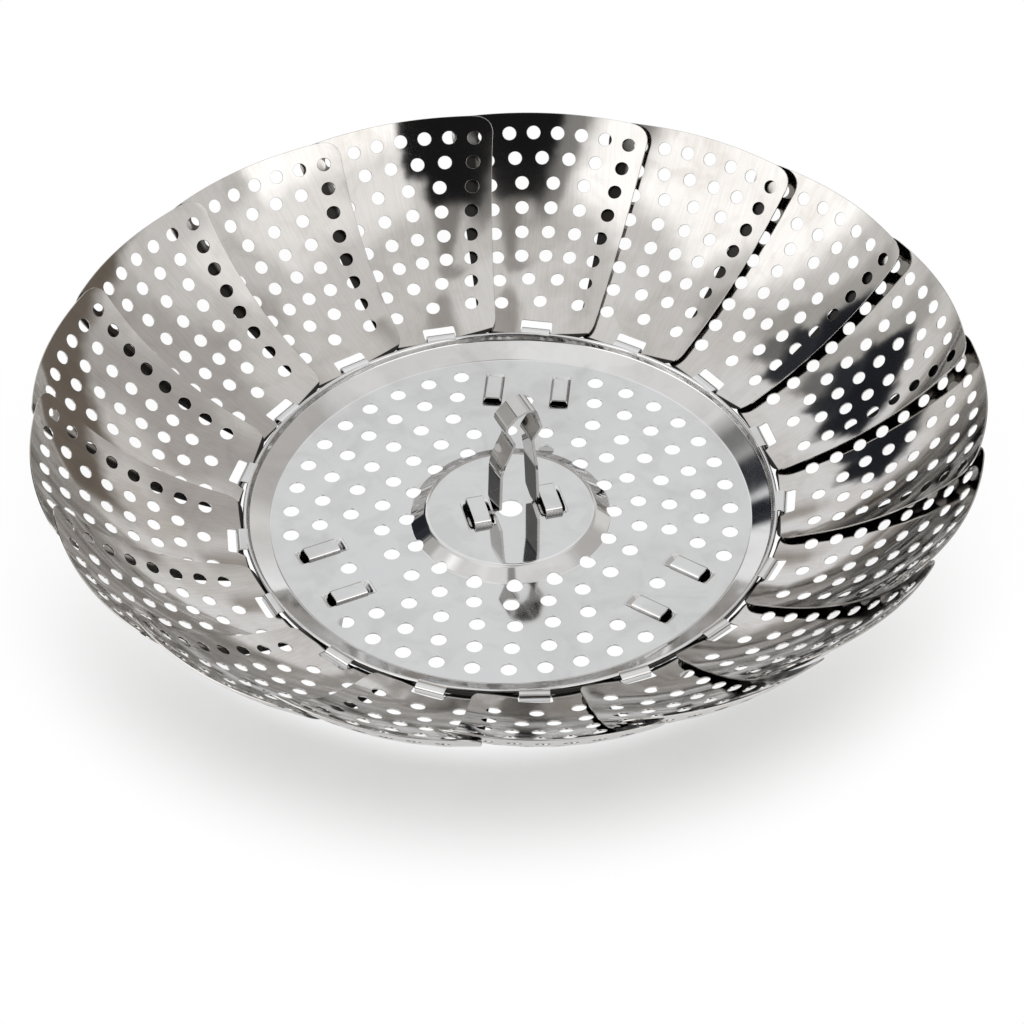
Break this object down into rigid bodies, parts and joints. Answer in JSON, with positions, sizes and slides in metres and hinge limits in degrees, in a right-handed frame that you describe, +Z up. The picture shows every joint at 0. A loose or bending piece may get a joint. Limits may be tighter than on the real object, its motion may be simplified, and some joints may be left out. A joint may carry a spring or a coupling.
{
  "type": "folding steamer basket",
  "caption": "Round folding steamer basket of sheet steel: perforated plate on short legs, ring of hinged perforated petals, strip handle in the middle.",
  "frame": {"origin": "on the basket's axis, at the level its feet stand on", "axes": "+Z up, the picture looks along +Y, +X to its right"},
  "size_m": [0.2449, 0.2449, 0.0677],
  "materials": {
    "plate": "satin stainless steel",
    "petal": "polished stainless steel",
    "strip": "satin stainless steel",
    "pin": "drawn wire"
  },
  "bodies": {
    "base": {"base_plate": "plate", "leg_pin_1": "pin", "leg_pin_2": "pin", "leg_pin_3": "pin"},
    "petal_01": {"petal_01": "petal"},
    "petal_02": {"petal_02": "petal"},
    "petal_03": {"petal_03": "petal"},
    "petal_04": {"petal_04": "petal"},
    "petal_05": {"petal_05": "petal"},
    "petal_06": {"petal_06": "petal"},
    "petal_07": {"petal_07": "petal"},
    "petal_08": {"petal_08": "petal"},
    "petal_09": {"petal_09": "petal"},
    "petal_10": {"petal_10": "petal"},
    "petal_11": {"petal_11": "petal"},
    "petal_12": {"petal_12": "petal"},
    "petal_13": {"petal_13": "petal"},
    "petal_14": {"petal_14": "petal"},
    "petal_15": {"petal_15": "petal"},
    "petal_16": {"petal_16": "petal"},
    "petal_17": {"petal_17": "petal"},
    "leg_1": {"leg_1": "strip"},
    "leg_2": {"leg_2": "strip"},
    "leg_3": {"leg_3": "strip"},
    "handle": {"handle": "strip"}
  },
  "joints": [
    {"name": "petal_01_fold", "type": "hinge", "parent": "base", "child": "petal_01", "pos_m": [0.00816, 0.07053, 0.0301], "axis": [0.9813, -0.1925, 0], "range_deg": [0, 60]},
    {"name": "petal_02_fold", "type": "hinge", "parent": "base", "child": "petal_02", "pos_m": [0.03309, 0.06282, 0.0301], "axis": [0.8455, -0.534, 0], "range_deg": [0, 60]},
    {"name": "petal_03_fold", "type": "hinge", "parent": "base", "child": "petal_03", "pos_m": [0.05355, 0.04662, 0.0301], "axis": [0.5955, -0.8034, 0], "range_deg": [0, 60]},
    {"name": "petal_04_fold", "type": "hinge", "parent": "base", "child": "petal_04", "pos_m": [0.06677, 0.02413, 0.0301], "axis": [0.2651, -0.9642, 0], "range_deg": [0, 60]},
    {"name": "petal_05_fold", "type": "hinge", "parent": "base", "child": "petal_05", "pos_m": [0.07098, -0.00162, 0.0301], "axis": [-0.1012, -0.9949, 0], "range_deg": [0, 60]},
    {"name": "petal_06_fold", "type": "hinge", "parent": "base", "child": "petal_06", "pos_m": [0.0656, -0.02715, 0.0301], "axis": [-0.4537, -0.8911, 0], "range_deg": [0, 60]},
    {"name": "petal_07_fold", "type": "hinge", "parent": "base", "child": "petal_07", "pos_m": [0.05137, -0.04902, 0.0301], "axis": [-0.745, -0.6671, 0], "range_deg": [0, 60]},
    {"name": "petal_08_fold", "type": "hinge", "parent": "base", "child": "petal_08", "pos_m": [0.03019, -0.06426, 0.0301], "axis": [-0.9357, -0.3529, 0], "range_deg": [0, 60]},
    {"name": "petal_09_fold", "type": "hinge", "parent": "base", "child": "petal_09", "pos_m": [0.00494, -0.07083, 0.0301], "axis": [-1, 0.0089, 0], "range_deg": [0, 60]},
    {"name": "petal_10_fold", "type": "hinge", "parent": "base", "child": "petal_10", "pos_m": [-0.02098, -0.06783, 0.0301], "axis": [-0.9292, 0.3696, 0], "range_deg": [0, 60]},
    {"name": "petal_11_fold", "type": "hinge", "parent": "base", "child": "petal_11", "pos_m": [-0.04407, -0.05567, 0.0301], "axis": [-0.733, 0.6803, 0], "range_deg": [0, 60]},
    {"name": "petal_12_fold", "type": "hinge", "parent": "base", "child": "petal_12", "pos_m": [-0.0612, -0.03599, 0.0301], "axis": [-0.4377, 0.8991, 0], "range_deg": [0, 60]},
    {"name": "petal_13_fold", "type": "hinge", "parent": "base", "child": "petal_13", "pos_m": [-0.07007, -0.01145, 0.0301], "axis": [-0.0834, 0.9965, 0], "range_deg": [0, 60]},
    {"name": "petal_14_fold", "type": "hinge", "parent": "base", "child": "petal_14", "pos_m": [-0.06948, 0.01463, 0.0301], "axis": [0.2822, 0.9593, 0], "range_deg": [0, 60]},
    {"name": "petal_15_fold", "type": "hinge", "parent": "base", "child": "petal_15", "pos_m": [-0.0595, 0.03874, 0.0301], "axis": [0.6097, 0.7926, 0], "range_deg": [0, 60]},
    {"name": "petal_16_fold", "type": "hinge", "parent": "base", "child": "petal_16", "pos_m": [-0.04149, 0.05762, 0.0301], "axis": [0.8549, 0.5188, 0], "range_deg": [0, 60]},
    {"name": "petal_17_fold", "type": "hinge", "parent": "base", "child": "petal_17", "pos_m": [-0.01787, 0.06871, 0.0301], "axis": [0.9846, 0.175, 0], "range_deg": [0, 60]},
    {"name": "leg_1_fold", "type": "hinge", "parent": "base", "child": "leg_1", "pos_m": [0.00528, 0.05022, 0.0253], "axis": [-0.9945, 0.1045, 0], "range_deg": [0, 90]},
    {"name": "leg_2_fold", "type": "hinge", "parent": "base", "child": "leg_2", "pos_m": [-0.04613, -0.02054, 0.0253], "axis": [0.4067, -0.9135, 0], "range_deg": [0, 90]},
    {"name": "leg_3_fold", "type": "hinge", "parent": "base", "child": "leg_3", "pos_m": [0.04086, -0.02968, 0.0253], "axis": [0.5878, 0.809, 0], "range_deg": [0, 90]},
    {"name": "handle_swing", "type": "hinge", "parent": "base", "child": "handle", "pos_m": [0.00091, 0.00041, 0.03065], "axis": [0.9135, 0.4067, 0], "range_deg": [-45, 45]}
  ],
  "couplings": [
    {"joint": "petal_02_fold", "follows": "petal_01_fold", "ratio": 1},
    {"joint": "petal_03_fold", "follows": "petal_01_fold", "ratio": 1},
    {"joint": "petal_04_fold", "follows": "petal_01_fold", "ratio": 1},
    {"joint": "petal_05_fold", "follows": "petal_01_fold", "ratio": 1},
    {"joint": "petal_06_fold", "follows": "petal_01_fold", "ratio": 1},
    {"joint": "petal_07_fold", "follows": "petal_01_fold", "ratio": 1},
    {"joint": "petal_08_fold", "follows": "petal_01_fold", "ratio": 1},
    {"joint": "petal_09_fold", "follows": "petal_01_fold", "ratio": 1},
    {"joint": "petal_10_fold", "follows": "petal_01_fold", "ratio": 1},
    {"joint": "petal_11_fold", "follows": "petal_01_fold", "ratio": 1},
    {"joint": "petal_12_fold", "follows": "petal_01_fold", "ratio": 1},
    {"joint": "petal_13_fold", "follows": "petal_01_fold", "ratio": 1},
    {"joint": "petal_14_fold", "follows": "petal_01_fold", "ratio": 1},
    {"joint": "petal_15_fold", "follows": "petal_01_fold", "ratio": 1},
    {"joint": "petal_16_fold", "follows": "petal_01_fold", "ratio": 1},
    {"joint": "petal_17_fold", "follows": "petal_01_fold", "ratio": 1}
  ]
}
